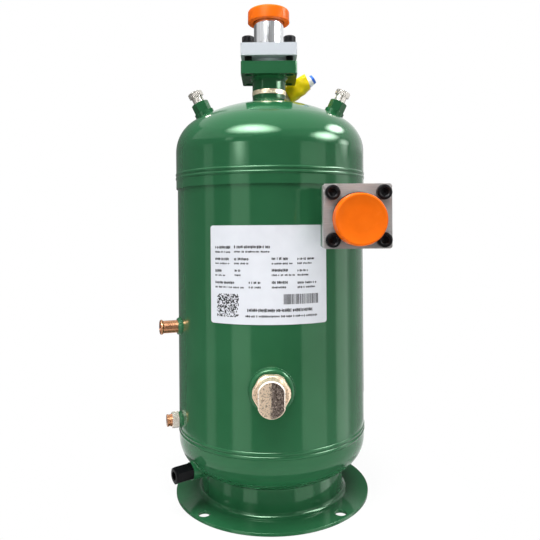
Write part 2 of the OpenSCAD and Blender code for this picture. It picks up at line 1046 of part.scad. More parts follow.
// Straight run, bend and dip leg of the oil tube at one radius; over lengthens both ends
module oil_route(r, over) {
    outer_end = shell_r + oil_stub_len;
    translate([oil_bend_x, 0, oil_axis_z])
        rotate([0, 90, 0])
            cylinder(r = r, h = outer_end - oil_bend_x + over);
    translate([oil_bend_x, 0, oil_axis_z - oil_bend])
        rotate([90, 0, 0])
            rotate([0, 0, 90])
                rotate_extrude(angle = 90)
                    translate([oil_bend, 0])
                        circle(r);
    translate([oil_dip_radius, 0, oil_dip_z - over])
        cylinder(r = r, h = oil_axis_z - oil_bend - oil_dip_z + over);
}

module oil_tube() {
    bead_r = oil_tube_r + oil_bead_rise;
    bead_round = oil_bead_len / 2;
    color(copper)
        rotate([0, 0, oil_dir])
            difference() {
                union() {
                    oil_route(oil_tube_r, 0);
                    translate([shell_r + oil_stub_len - oil_bead_len, 0, oil_axis_z])
                        rotate([0, 90, 0])
                            rotate_extrude() {
                                square([bead_r - oil_bead_rise, oil_bead_len]);
                                intersection() {
                                    translate([bead_r - bead_round, bead_round])
                                        circle(bead_round);
                                    square([bead_r, oil_bead_len]);
                                }
                            }
                }
                oil_route(oil_tube_r - oil_tube_wall, cut);
            }
}

// Lower oil port

module port_boss() {
    color(green)
        difference() {
            outwards(oil_dir, seam_z + port_z)
                translate([0, 0, shell_r - port_boss_len])
                    cylinder(d1 = port_boss_d + port_boss_len, d2 = port_hex - 1, h = 2 * port_boss_len);
            vessel_envelope();
            outwards(oil_dir, seam_z + port_z)
                cylinder(d = port_thread_d + 2 * fit, h = shell_r + through);
        }
}

module port_plug() {
    chamfer = 1;
    half_end = port_end_len / 2;
    color(brass)
        outwards(oil_dir, seam_z + port_z)
            translate([0, 0, shell_r + port_boss_len]) {
                translate([0, 0, -port_boss_len - wall])
                    cylinder(d = port_thread_d, h = port_boss_len + wall);
                hex_head(port_hex, port_hex_h, chamfer);
                translate([0, 0, port_hex_h])
                    difference() {
                        cylinder(d = port_end_d, h = port_end_len);
                        translate([0, 0, half_end - port_groove])
                            tube(port_end_d + 2 * cut, port_end_d - 2 * port_groove, 2 * port_groove);
                    }
            }
}

// Drain

module drain_nozzle() {
    color(green)
        difference() {
            union() {
                outwards(drain_dir, drain_z)
                    cylinder(d = drain_d, h = drain_face_r);
                outwards(drain_dir, drain_z)
                    cylinder(d = drain_thread_d, h = drain_face_r + drain_thread_len);
            }
            vessel_envelope();
            outwards(drain_dir, drain_z)
                cylinder(d = drain_bore, h = shell_r + through);
        }
}

module drain_cap() {
    chamfer = 1.5;
    color(black)
        outwards(drain_dir, drain_z)
            translate([0, 0, drain_face_r + turn_gap])
                difference() {
                    hex_head(drain_cap_w, drain_cap_len, chamfer);
                    translate([0, 0, -cut])
                        cylinder(d = drain_thread_d + 2 * turn_gap, h = drain_thread_len + cut);
                    translate([0, 0, drain_cap_len - drain_recess_depth])
                        cylinder(d = drain_recess_d, h = drain_recess_depth + cut);
                }
}

// Level port

module level_boss() {
    outer = level_boss_d / 2;
    color(green)
        difference() {
            outwards(front_dir, seam_z + level_z)
                rotate_extrude() {
                    square([outer, level_face_r - level_boss_round]);
                    square([outer - level_boss_round, level_face_r]);
                    translate([outer - level_boss_round, level_face_r - level_boss_round])
                        circle(level_boss_round);
                }
            vessel_envelope();
            outwards(front_dir, seam_z + level_z)
                cylinder(d = level_thread_d + 2 * fit, h = shell_r + through);
        }
}

module level_washer() {
    color(copper)
        outwards(front_dir, seam_z + level_z)
            translate([0, 0, level_face_r])
                tube(level_washer_d, level_thread_d + 2 * fit, level_washer_t);
}

// Outline of the plug's head: two flats and two round ends
module level_head_outline() {
    end_shift = level_head_h / 2 - level_head_r;
    intersection() {
        square([2 * level_head_h, level_head_w], center = true);
        union() {
            square([2 * end_shift, level_head_w], center = true);
            for (side = [-1, 1])
                translate([side * end_shift, 0])
                    circle(level_head_r);
        }
    }
}

module level_plug() {
    chamfer = 1.5;
    color(nickel)
        outwards(front_dir, seam_z + level_z)
            translate([0, 0, level_seat_r]) {
                translate([0, 0, -level_thread_len])
                    cylinder(d = level_thread_d, h = level_thread_len);
                rotate([0, 0, 30])
                    hex_head(level_hex, level_hex_h, chamfer);
                linear_extrude(height = level_hex_h + level_head_len)
                    level_head_outline();
            }
}

// Inside

module gas_tube() {
    color(steel)
        intersection() {
            translate([0, 0, apex_z - wall - gas_tube_len])
                tube(gas_tube_od, gas_tube_od - 2 * gas_tube_wall, gas_tube_len);
            translate([0, 0, crown_z])
                sphere(crown_radius(head_r) - wall, $fn = 360);
        }
}

module baffle_plate() {
    plate_r = shell_r - wall - baffle_gap;
    lug_r = shell_r - wall - fit;
    hole_circle_r = plate_r - baffle_hole_d;
    color(steel)
        translate([0, 0, seam_z + baffle_z])
            difference() {
                union() {
                    cylinder(r = plate_r, h = baffle_t);
                    intersection() {
                        cylinder(r = lug_r, h = baffle_t);
                        for (i = [0 : baffle_lugs - 1])
                            rotate([0, 0, 360 / baffle_lugs * i])
                                translate([0, -baffle_lug_w / 2, 0])
                                    cube([shell_r, baffle_lug_w, baffle_t]);
                    }
                }
                for (i = [0 : baffle_holes - 1])
                    rotate([0, 0, 360 / baffle_holes * (i + 0.5)])
                        translate([hole_circle_r, 0, -cut])
                            cylinder(d = baffle_hole_d, h = baffle_t + 2 * cut);
            }
}

foot_ring();
bottom_head();
shell();
top_head();
label();
outlet_boss();
outlet_seal_ring();
outlet_neck_flange();
outlet_gasket();
outlet_flange();
outlet_stub();
outlet_screws();
outlet_cap();
inlet_neck_flange();
inlet_gasket();
inlet_flange();
inlet_stub();
inlet_screws();
inlet_cap();
left_valve_body();
left_valve_core();
left_valve_cap();
right_valve_body();
right_valve_core();
right_valve_cap();
relief_nozzle();
relief_valve();
relief_sleeve();
relief_plug();
oil_collar();
oil_tube();
port_boss();
port_plug();
drain_nozzle();
drain_cap();
level_boss();
level_washer();
level_plug();
gas_tube();
baffle_plate();
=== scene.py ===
"""Looks of the refrigeration oil separator: finishes, weld beads, label print, light and camera."""
import json
import math
import random

import bpy
from mathutils import Euler, Matrix, Vector


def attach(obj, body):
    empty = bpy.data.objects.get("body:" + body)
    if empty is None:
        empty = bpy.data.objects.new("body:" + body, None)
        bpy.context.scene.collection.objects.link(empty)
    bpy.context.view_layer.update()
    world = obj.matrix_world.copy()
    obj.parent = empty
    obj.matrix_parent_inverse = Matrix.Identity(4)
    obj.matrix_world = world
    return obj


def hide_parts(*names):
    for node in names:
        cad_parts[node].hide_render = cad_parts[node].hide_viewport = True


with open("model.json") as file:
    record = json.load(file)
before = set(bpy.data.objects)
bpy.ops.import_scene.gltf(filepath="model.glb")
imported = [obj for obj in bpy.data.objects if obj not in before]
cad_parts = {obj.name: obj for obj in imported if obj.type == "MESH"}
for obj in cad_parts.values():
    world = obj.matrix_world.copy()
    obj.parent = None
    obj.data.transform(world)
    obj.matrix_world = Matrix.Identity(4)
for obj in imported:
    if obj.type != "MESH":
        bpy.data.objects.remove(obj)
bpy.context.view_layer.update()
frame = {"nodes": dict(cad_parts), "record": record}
NODES = frame["nodes"]
MM = 0.001

# Camera, fitted to the photograph's 540 by 540 frame
FRAME_PX = 540
FOCAL_PX = 568.5
HORIZON_PX = 224.0
AXIS_PX = 270.2
SENSOR_MM = 36.0
CAMERA_DISTANCE = 0.7656
CAMERA_HEIGHT = 0.3517
CAMERA_ROLL = 0.45

# Sizes of the solids that the added pieces sit on, in millimetres
SHELL_R = 122.5
SEAM_Z = 87.946
TANGENT_Z = 75.946
CROWN_R = 198.88
CROWN_Z = 315.342
NECK_R = 22.5
OUTLET_Z = 545.822
FLANGE_GAP = 7.7
FLANGE_T = 16.0
INLET = (92.7, -125.0, 359.346)
SCREW_PITCH = (54.0, 50.0)
OIL_DIR = 198.0
PORT_Z = SEAM_Z + 15
OIL_Z = SEAM_Z + 134
LEVEL_DIR = 270
LEVEL_Z = SEAM_Z + 75.0
DRAIN_DIR = 216
DRAIN_Z = TANGENT_Z - 25
KNUCKLE_SHARE = 0.154
CROWN_SHARE = 1.6
VALVE_TILT = 25.302
VALVE_SWING = 7.7
RELIEF = (12.0, 49.0)
RELIEF_ELBOW_Z = 522.717
RELIEF_TILT = 55.0


# Circles and rings of points

def turns(count):
    return [2 * math.pi * i / count for i in range(count)]


def circle(r, z, count):
    return [Vector((r * math.cos(a), r * math.sin(a), z)) for a in turns(count)]


def all_points(rings):
    return [p for ring in rings for p in ring]


def join_rings(rings, closed=False, first=0):
    """Faces between rings of equal count; closed also joins the last ring to the first."""
    count = len(rings[0])
    faces = []
    for i in range(len(rings) if closed else len(rings) - 1):
        a, b = first + i * count, first + (i + 1) % len(rings) * count
        for j in range(count):
            k = (j + 1) % count
            faces.append((a + j, a + k, b + k, b + j))
    return faces


def add_camera():
    data = bpy.data.cameras.new("camera")
    data.sensor_width = SENSOR_MM
    data.lens = SENSOR_MM * FOCAL_PX / FRAME_PX
    data.shift_x = (FRAME_PX / 2 - AXIS_PX) / FRAME_PX
    data.shift_y = (HORIZON_PX - FRAME_PX / 2) / FRAME_PX
    camera = bpy.data.objects.new("camera", data)
    camera.location = (0.0, -CAMERA_DISTANCE, CAMERA_HEIGHT)
    camera.rotation_euler = Euler((math.radians(90), math.radians(CAMERA_ROLL), 0.0))
    bpy.context.scene.collection.objects.link(camera)
    bpy.context.scene.camera = camera


# Node helpers

class Shader:
    """A material's node tree with short calls to add nodes and link sockets."""

    def __init__(self, name):
        self.material = bpy.data.materials.new(name)
        self.material.use_nodes = True
        self.tree = self.material.node_tree
        self.surface = self.tree.nodes["Principled BSDF"]
        self.output = self.tree.nodes["Material Output"]
        self.place = self.add("ShaderNodeTexCoord").outputs["Object"]

    def add(self, kind, inputs=None, **settings):
        node = self.tree.nodes.new(kind)
        for key, value in settings.items():
            setattr(node, key, value)
        for key, value in (inputs or {}).items():
            self.feed(node.inputs[key], value)
        return node

    def feed(self, socket, value):
        if isinstance(value, bpy.types.NodeSocket):
            self.tree.links.new(value, socket)
        else:
            socket.default_value = value

    def set(self, **inputs):
        for key, value in inputs.items():
            self.feed(self.surface.inputs[key.replace("_", " ")], value)

    def stretched(self, scale):
        mapping = self.add("ShaderNodeMapping", {"Vector": self.place, "Scale": scale})
        return mapping.outputs["Vector"]

    def noise(self, scale, detail=2.0, rough=0.5, place=None):
        node = self.add("ShaderNodeTexNoise", {
            "Vector": place or self.place, "Scale": scale, "Detail": detail, "Roughness": rough})
        return node.outputs["Fac"]

    def ramp(self, fac, stops):
        node = self.add("ShaderNodeValToRGB", {"Fac": fac})
        elements = node.color_ramp.elements
        while len(elements) < len(stops):
            elements.new(0.5)
        for element, (position, color) in zip(elements, stops):
            element.position = position
            element.color = (*color, 1.0)
        return node.outputs["Color"]

    def span(self, fac, low, high, start=0.3, end=0.7):
        node = self.add("ShaderNodeMapRange", {
            "Value": fac, "From Min": start, "From Max": end, "To Min": low, "To Max": high})
        return node.outputs["Result"]

    def bump(self, height, distance, strength):
        node = self.add("ShaderNodeBump", {
            "Height": height, "Distance": distance, "Strength": strength})
        return node.outputs["Normal"]

    def combine(self, operation, a, b):
        return self.add("ShaderNodeMath", {0: a, 1: b}, operation=operation).outputs[0]

    def mix(self, factor, a, b):
        node = self.add("ShaderNodeMix", {"Factor": factor, "A": a, "B": b}, data_type="RGBA")
        return node.outputs["Result"]

    def along(self, axis):
        """Distance of a point along an axis through the origin."""
        node = self.add("ShaderNodeVectorMath", {0: self.place, 1: axis}, operation="DOT_PRODUCT")
        return node.outputs["Value"]

    def length(self, place):
        node = self.add("ShaderNodeVectorMath", {0: place}, operation="LENGTH")
        return node.outputs["Value"]


# Finishes

def vessel_green():
    s = Shader("vessel_green")
    patches = s.noise(9.0, 3.0)
    peel = s.noise(320.0, 1.0)
    s.set(
        Base_Color=s.ramp(patches, [
            (0.35, (0.016, 0.099, 0.039)), (0.65, (0.021, 0.114, 0.047))]),
        Roughness=s.span(s.noise(40.0, 3.0), 0.09, 0.14),
        Normal=s.bump(peel, 0.00003, 0.35),
        Specular_IOR_Level=0.5,
        Specular_Tint=(0.64, 1.0, 0.70, 1.0),
    )
    return s.material


def bare_steel():
    s = Shader("bare_steel")
    grain = s.noise(1.0, 3.0, 0.6, s.stretched((70.0, 900.0, 900.0)))
    stains = s.noise(45.0, 4.0)
    brushed = s.ramp(grain, [(0.3, (0.44, 0.425, 0.42)), (0.7, (0.56, 0.545, 0.54))])
    s.set(
        Metallic=0.6,
        Base_Color=s.mix(s.span(stains, 0.0, 0.35), brushed, (0.52, 0.45, 0.42, 1.0)),
        Roughness=s.span(grain, 0.30, 0.44),
        Normal=s.bump(grain, 0.00002, 0.5),
    )
    return s.material


def polished_steel():
    s = Shader("polished_steel")
    drawn = s.noise(1.0, 3.0, 0.6, s.stretched((700.0, 700.0, 30.0)))
    s.set(
        Metallic=1.0,
        Base_Color=s.ramp(drawn, [(0.3, (0.62, 0.63, 0.65)), (0.7, (0.80, 0.81, 0.83))]),
        Roughness=s.span(drawn, 0.10, 0.18),
        Normal=s.bump(drawn, 0.00001, 0.4),
    )
    return s.material


def plated_steel():
    s = Shader("plated_steel")
    flecks = s.noise(900.0, 2.0)
    s.set(
        Base_Color=s.ramp(flecks, [(0.35, (0.54, 0.57, 0.62)), (0.65, (0.62, 0.65, 0.70))]),
        Roughness=s.span(s.noise(60.0, 3.0), 0.40, 0.52),
        Normal=s.bump(flecks, 0.00002, 0.5),
        Specular_IOR_Level=0.05,
    )
    return s.material


# Places on the level plug, in metres: front face, rim with its painted highlight, heights over
# which that painted highlight brightens upward, edge of the face's half with a painted dark
# reflection
PLUG_FACE_Y = (-0.15895, -0.15880)
PLUG_RIM_Y = (-0.15730, -0.15690)
PLUG_HIGHLIGHT_Z = (0.150, 0.174)
PLUG_DARK_HALF_X = (-0.0014, 0.0004)
PLUG_DARK_HALF_WAVER = 0.0016


def nickel_with_painted_light():
    """Plated plug with a pitted front face, a painted highlight on its rim that is brightest at the
    top, and a painted dark reflection over the right half of the face.
    """
    s = Shader("nickel_with_painted_light")
    axes = s.add("ShaderNodeSeparateXYZ", {"Vector": s.place}).outputs
    face = s.span(axes["Y"], 1.0, 0.0, *PLUG_FACE_Y)
    front = s.span(axes["Y"], 1.0, 0.0, *PLUG_RIM_Y)
    light = s.span(axes["Z"], 0.15, 1.0, *PLUG_HIGHLIGHT_Z)
    # Painted highlight: the rim turns near-white and less metallic, most at the top, as if lit from
    # above
    painted_rim_highlight = s.combine("MULTIPLY", s.combine("SUBTRACT", front, face), light)
    # Painted dark reflection: the right half of the front face takes dark grains, behind a wavering
    # edge
    waver = s.span(s.noise(220.0, 5.0), -PLUG_DARK_HALF_WAVER, PLUG_DARK_HALF_WAVER)
    right = s.span(s.combine("ADD", axes["X"], waver), 0.0, 0.9, *PLUG_DARK_HALF_X)
    grains = s.noise(650.0, 3.0, 0.6)
    bright = s.ramp(grains, [
        (0.30, (0.40, 0.29, 0.20)), (0.36, (0.80, 0.61, 0.44)), (0.7, (0.93, 0.75, 0.57))])
    # Dark copy of the grains, for the painted dark reflection on the right half
    painted_dark_grains = s.ramp(grains, [
        (0.45, (0.06, 0.045, 0.045)), (0.60, (0.20, 0.155, 0.14)), (0.70, (0.80, 0.68, 0.55))])
    body = s.mix(s.combine("MULTIPLY", right, face), bright, painted_dark_grains)
    s.set(
        Metallic=s.span(painted_rim_highlight, 0.6, 0.25, 0.0, 1.0),
        Base_Color=s.mix(painted_rim_highlight, body, (0.96, 0.92, 0.86, 1.0)),
        Roughness=s.span(grains, 0.22, 0.40),
        Normal=s.bump(grains, 0.00008, 0.6),
    )
    return s.material


# Where the port plug turns from silver to copper, from the vessel's axis in metres
PORT_COPPER = (0.1338, 0.1342)


def port_metal():
    """Silver hexagon and copper end, told apart by the distance along the plug."""
    s = Shader("port_metal")
    out = Vector((math.cos(math.radians(OIL_DIR)), math.sin(math.radians(OIL_DIR)), 0.0))
    wear = s.noise(300.0, 3.0)
    silver = s.ramp(wear, [(0.3, (0.74, 0.68, 0.59)), (0.7, (0.84, 0.79, 0.70))])
    copper = s.ramp(wear, [(0.3, (0.55, 0.24, 0.11)), (0.7, (0.76, 0.38, 0.20))])
    s.set(
        Metallic=0.75,
        Base_Color=s.mix(s.span(s.along(out), 0.0, 1.0, *PORT_COPPER), silver, copper),
        Roughness=s.span(wear, 0.18, 0.30),
        Normal=s.bump(wear, 0.00002, 0.5),
    )
    return s.material


def cap_orange():
    s = Shader("cap_orange")
    s.set(
        Base_Color=s.ramp(s.noise(60.0, 3.0), [
            (0.3, (0.83, 0.138, 0.005)), (0.7, (0.89, 0.158, 0.007))]),
        Roughness=s.span(s.noise(90.0, 3.0), 0.20, 0.28),
        Normal=s.bump(s.noise(1500.0, 2.0), 0.00003, 0.4),
        Specular_IOR_Level=0.06,
    )
    return s.material


# How far a finish gets smoother and rougher than its set roughness
SMOOTHER, ROUGHER = 0.05, 0.08


def metal(name, dark, light, rough, scale, share):
    s = Shader(name)
    s.set(
        Metallic=share,
        Base_Color=s.ramp(s.noise(scale, 4.0), [(0.3, dark), (0.7, light)]),
        Roughness=s.span(s.noise(scale * 3, 3.0), rough - SMOOTHER, rough + ROUGHER),
        Normal=s.bump(s.noise(scale * 8, 2.0), 0.00002, 0.15),
    )
    return s.material


def plastic(name, dark, light, rough, scale, gloss):
    s = Shader(name)
    s.set(
        Base_Color=s.ramp(s.noise(scale, 3.0), [(0.3, dark), (0.7, light)]),
        Roughness=s.span(s.noise(scale * 2, 3.0), rough - SMOOTHER, rough + ROUGHER),
        Normal=s.bump(s.noise(scale * 15, 2.0), 0.00002, 0.4),
        Specular_IOR_Level=gloss,
    )
    return s.material


# The relief plug's visible part, from the elbow in metres
RELIEF_PLUG = (0.050, 0.064)


def plug_blue():
    """White moulding with a blue end, told apart by the distance along the relief valve's arm."""
    s = Shader("plug_blue")
    tilt = math.radians(RELIEF_TILT)
    axis = Vector((math.sin(tilt), 0.0, math.cos(tilt)))
    elbow = (Vector((*RELIEF, RELIEF_ELBOW_Z)) * MM).dot(axis)
    reach = s.span(s.along(axis), 0.0, 1.0, elbow + RELIEF_PLUG[0], elbow + RELIEF_PLUG[1])
    wear = s.noise(300.0, 3.0)
    s.set(
        Base_Color=s.ramp(reach, [
            (0.0, (0.02, 0.08, 0.55)), (0.20, (0.03, 0.10, 0.60)), (0.24, (0.86, 0.87, 0.90)),
            (0.62, (0.86, 0.87, 0.90)), (0.68, (0.01, 0.10, 0.62)), (1.0, (0.02, 0.22, 0.80))]),
        Roughness=s.span(wear, 0.22, 0.36),
        Normal=s.bump(wear, 0.00003, 0.4),
        Specular_IOR_Level=0.4,
    )
    return s.material


def screw_black():
    s = Shader("screw_black")
    s.set(
        Base_Color=s.ramp(s.noise(400.0, 3.0), [
            (0.3, (0.004, 0.004, 0.005)), (0.7, (0.009, 0.009, 0.010))]),
        Roughness=s.span(s.noise(700.0, 2.0), 0.24, 0.36),
        Normal=s.bump(s.noise(1800.0, 2.0), 0.00002, 0.4),
        Specular_IOR_Level=0.12,
    )
    return s.material


FINISHES = {
    "vessel_green": vessel_green(),
    "bare_steel": bare_steel(),
    "cap_orange": cap_orange(),
    "screw_black": screw_black(),
    "label_film": plastic(
        "label_film", (0.70, 0.72, 0.77), (0.74, 0.76, 0.81), 0.34, 60.0, 0.3),
    "gasket_fibre": plastic(
        "gasket_fibre", (0.10, 0.11, 0.12), (0.17, 0.18, 0.19), 0.7, 200.0, 0.3),
    "brass": metal("brass", (0.78, 0.62, 0.44), (0.88, 0.73, 0.54), 0.30, 40.0, 0.6),
    "nickel_plate": metal(
        "nickel_plate", (0.66, 0.62, 0.57), (0.74, 0.70, 0.65), 0.24, 40.0, 0.8),
    "copper": metal("copper", (0.58, 0.26, 0.13), (0.68, 0.34, 0.19), 0.25, 40.0, 0.9),
    "sleeve_yellow": plastic(
        "sleeve_yellow", (0.84, 0.60, 0.001), (0.93, 0.73, 0.002), 0.34, 120.0, 0.15),
    "plug_blue": plug_blue(),
    "cap_black": plastic(
        "cap_black", (0.002, 0.002, 0.0025), (0.004, 0.004, 0.005), 0.13, 90.0, 0.08),
}
NODE_FINISHES = {
    "outlet_stub": polished_steel(),
    "outlet_flange": plated_steel(),
    "level_plug": nickel_with_painted_light(),
    "port_plug": port_metal(),
}
INK = plastic("print_ink", (0.012, 0.012, 0.014), (0.03, 0.03, 0.034), 0.5, 300.0, 0.3)


def finish_nodes():
    for part in frame["record"]["subparts"]:
        node = NODES[part["node"]]
        node.data.materials.clear()
        finish = NODE_FINISHES.get(part["node"], FINISHES[part["material_slot"]])
        node.data.materials.append(finish)


# Rounds on the solids' sharp edges: widths in millimetres
EDGE_SEGMENTS = 3
SHARP_EDGE = 32
FACE_WEIGHT = 80
JOIN_GAP = 0.00001
EDGE_WIDTHS = {
    "outlet_neck_flange": 0.9, "outlet_flange": 0.9,
    "inlet_neck_flange": 0.9, "inlet_flange": 0.9,
    "left_valve_body": 0.5, "right_valve_body": 0.5,
    "left_valve_cap": 0.5, "right_valve_cap": 0.5,
    "port_plug": 0.4, "drain_cap": 1.7, "foot_ring": 0.6, "relief_valve": 0.5,
    "outlet_stub": 0.4, "drain_nozzle": 0.8, "outlet_seal_ring": 0.6, "port_boss": 0.6,
}


def round_edges():
    """Joins the faces of each solid and rounds its sharp edges, so that they catch the light."""
    for name, width in EDGE_WIDTHS.items():
        modifiers = NODES[name].modifiers
        modifiers.new("joined", "WELD").merge_threshold = JOIN_GAP
        edges = modifiers.new("edges", "BEVEL")
        edges.width = width * MM
        edges.segments = EDGE_SEGMENTS
        edges.limit_method = "ANGLE"
        edges.angle_limit = math.radians(SHARP_EDGE)
        modifiers.new("shading", "WEIGHTED_NORMAL").weight = FACE_WEIGHT


# Pieces

def add_piece(name, points, faces, material, stands_for=()):
    """Makes a piece from points in millimetres and lets it ride on the vessel."""
    mesh = bpy.data.meshes.new(name)
    mesh.from_pydata([Vector(p) * MM for p in points], [], faces)
    mesh.validate()
    mesh.shade_smooth()
    mesh.materials.append(material)
    piece = bpy.data.objects.new(name, mesh)
    bpy.context.scene.collection.objects.link(piece)
    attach(piece, "vessel")
    if stands_for:
        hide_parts(*stands_for)
    return piece


# Weld beads

def dome_point(x, y):
    return Vector((x, y, CROWN_Z + math.sqrt(CROWN_R ** 2 - x * x - y * y)))


def dome_ring(x, y, r, count):
    return [dome_point(x + r * math.cos(a), y + r * math.sin(a)) for a in turns(count)]


def valve_ring(side, r, count):
    swing = math.radians(-VALVE_SWING if side > 0 else 180 + VALVE_SWING)
    tilt = math.radians(VALVE_TILT)
    flat = math.sin(tilt)
    axis = Vector((flat * math.cos(swing), flat * math.sin(swing), math.cos(tilt)))
    turn = axis.to_track_quat("Z", "Y")
    crown = Vector((0, 0, CROWN_Z))
    return [crown + turn @ p for p in circle(r, math.sqrt(CROWN_R ** 2 - r * r), count)]


def shell_ring(direction, z, r, count):
    ring = []
    for a in turns(count):
        around = math.radians(direction) + math.asin(r * math.cos(a) / SHELL_R)
        x, y = SHELL_R * math.cos(around), SHELL_R * math.sin(around)
        ring.append(Vector((x, y, z + r * math.sin(a))))
    return ring


def inlet_ring(r, count):
    ring = []
    for a in turns(count):
        x = INLET[0] + r * math.cos(a)
        ring.append(Vector((x, -math.sqrt(SHELL_R ** 2 - x * x), INLET[2] + r * math.sin(a))))
    return ring


def bottom_radius(z):
    """Outside radius of the bottom head at a height."""
    knuckle = KNUCKLE_SHARE * 2 * SHELL_R
    crown = CROWN_SHARE * SHELL_R
    centre = SHELL_R - knuckle
    drop = math.sqrt((crown - knuckle) ** 2 - centre ** 2)
    below = TANGENT_Z - z
    if below < knuckle * drop / (crown - knuckle):
        return centre + math.sqrt(knuckle ** 2 - below ** 2)
    return math.sqrt(crown ** 2 - (drop + below) ** 2)


def drain_ring(direction, z, r, count):
    out = Vector((math.cos(math.radians(direction)), math.sin(math.radians(direction)), 0))
    side = Vector((-out.y, out.x, 0))
    ring = []
    for a in turns(count):
        u, v = r * math.cos(a), r * math.sin(a)
        reach = math.sqrt(bottom_radius(z + v) ** 2 - u * u)
        ring.append(out * reach + side * u + Vector((0, 0, z + v)))
    return ring


BEAD_SIDES = 10
BEAD_RIPPLE = 0.16
BEAD_UNEVEN = 0.05


def add_bead(name, path, size, ripple):
    """A weld bead along a closed path, with the ripples of its passes."""
    rng = random.Random(name)
    centre = sum(path, Vector()) / len(path)
    rings = []
    count = len(path)
    for i, point in enumerate(path):
        ahead = (path[(i + 1) % count] - path[i - 1]).normalized()
        out = (point - centre).normalized()
        up = ahead.cross(out).normalized()
        out = up.cross(ahead)
        wave = BEAD_RIPPLE * math.sin(2 * math.pi * i / ripple)
        swell = 1 + wave + rng.uniform(-BEAD_UNEVEN, BEAD_UNEVEN)
        rings.append([point + (out * math.cos(a) + up * math.sin(a)) * size * swell
                      for a in turns(BEAD_SIDES)])
    faces = join_rings(rings, closed=True)
    add_piece(name, all_points(rings), faces, FINISHES["vessel_green"])


def add_beads():
    """A bead has a name, a path with its radius and points, a size and a ripple's points."""
    add_bead("outlet_weld", dome_ring(0, 0, 28.0, 360), 1.5, 8)
    add_bead("left_valve_weld", valve_ring(-1, 13.2, 240), 1.1, 7)
    add_bead("right_valve_weld", valve_ring(1, 13.2, 240), 1.1, 7)
    add_bead("relief_weld", dome_ring(*RELIEF, 10.2, 200), 1.2, 7)
    add_bead("inlet_weld", inlet_ring(NECK_R + 0.4, 360), 1.8, 8)
    add_bead("port_weld", shell_ring(OIL_DIR, PORT_Z, 10.9, 240), 0.6, 7)
    add_bead("oil_weld", shell_ring(OIL_DIR, OIL_Z, 12.3, 240), 0.6, 7)
    add_bead("level_weld", shell_ring(LEVEL_DIR, LEVEL_Z, 26.2, 360), 0.9, 8)
    add_bead("drain_weld", drain_ring(DRAIN_DIR, DRAIN_Z, 10.6, 240), 1.3, 7)


# Flange screws

SCREW_SIDES = 144
SCREW_HEAD_R = 8.0
KNURL_DEPTH = 0.4
SOCKET_HALF = 4.0
SHANK_R = 5.0
SHANK_END = -FLANGE_T + 0.5
THREAD_START = -FLANGE_T + 0.4
THREAD_END = -FLANGE_T - FLANGE_GAP - 1.0
THREAD_PITCH = 1.5
THREAD_CREST_R, THREAD_ROOT_R = 4.95, 4.2
FIRST_TURN, NEXT_TURN = 17, 23
SCREW_SHARP = 35


def screw_mesh():
    """Points and faces of a knurled socket-head screw, with its head's underside at z = 0."""
    around = turns(SCREW_SIDES)

    def ring(z, radius):
        return [Vector((radius(i, a) * math.cos(a), radius(i, a) * math.sin(a), z))
                for i, a in enumerate(around)]

    def plain(r):
        return lambda i, a: r

    def knurl(i, a):
        return SCREW_HEAD_R - KNURL_DEPTH * (i // 2 % 2)

    def socket(i, a):
        return SOCKET_HALF / math.cos((a + math.pi / 6) % (math.pi / 3) - math.pi / 6)

    # Up the knurled side, over the rounded edge and down the socket
    head = [
        ring(0.0, plain(7.3)), ring(0.5, knurl), ring(9.0, knurl), ring(9.2, plain(7.75)),
        ring(9.8, plain(7.3)), ring(10.0, plain(6.9)), ring(10.0, plain(5.3)),
        ring(9.6, plain(4.75)), ring(9.4, socket), ring(5.2, socket), ring(5.0, plain(3.2)),
        ring(4.2, plain(0.05)),
    ]
    shank = [ring(0.0, plain(SHANK_R)), ring(SHANK_END, plain(SHANK_R))]
    z = THREAD_START
    while z > THREAD_END:
        shank.append(ring(z, plain(THREAD_CREST_R)))
        shank.append(ring(z - THREAD_PITCH / 2, plain(THREAD_ROOT_R)))
        z -= THREAD_PITCH
    faces = join_rings(head) + join_rings(shank, first=len(head) * SCREW_SIDES)
    return all_points(head + shank), faces


def add_screws(name, node, place):
    points, faces = [], []
    mesh_points, mesh_faces = screw_mesh()
    for i, (sx, sy) in enumerate(((-1, -1), (1, -1), (1, 1), (-1, 1))):
        turn = Matrix.Rotation(math.radians(FIRST_TURN + NEXT_TURN * i), 3, "Z")
        first = len(points)
        x, y = sx * SCREW_PITCH[0] / 2, sy * SCREW_PITCH[1] / 2
        shift = Vector((x, y, 2 * FLANGE_T + FLANGE_GAP))
        points += [place(turn @ p + shift) for p in mesh_points]
        faces += [tuple(first + k for k in face) for face in mesh_faces]
    piece = add_piece(name, points, faces, FINISHES["screw_black"], (node,))
    piece.data.set_sharp_from_angle(angle=math.radians(SCREW_SHARP))


def at_outlet(p):
    return Vector((p.x, p.y, OUTLET_Z + p.z))


def at_inlet(p):
    return Vector((INLET[0] + p.x, INLET[1] - p.z, INLET[2] + p.y))


# Transit caps

CAP_LEN = 17.0
OUTLET_SKIRT_Z = 621.522
INLET_SKIRT = (92.7, -175.1, 355.746)
COLLAR = (92.4, -164.7, 357.3)
TURNED_SIDES = 144
TURNED_SHARP = 40
# Radius and height above the flange of the rubber collar
COLLAR_PROFILE = [
    (20.8, 10.2), (26.4, 10.2), (27.2, 9.4), (27.2, 7.6), (26.4, 6.8), (26.4, 5.6),
    (27.2, 4.8), (27.2, 2.8), (26.4, 2.0), (26.4, 0.1), (20.8, 0.1),
]
# Radius and height above the skirt's end, from the bore out over the skirt
SKIRT_PROFILE = [(20.6, 12.6), (21.0, 0.5), (21.4, 0.0), (27.5, 0.0), (28.0, 0.5)]
FACE_Z = CAP_LEN - 0.3
FACE_LIP, FACE_EDGE, FACE_MIDDLE = 0.9, 1.4, 0.1
# Radius of the shoulder and rounding of the front edge
OUTLET_CAP = (27.8, 4.0)
INLET_CAP = (26.9, 1.7)


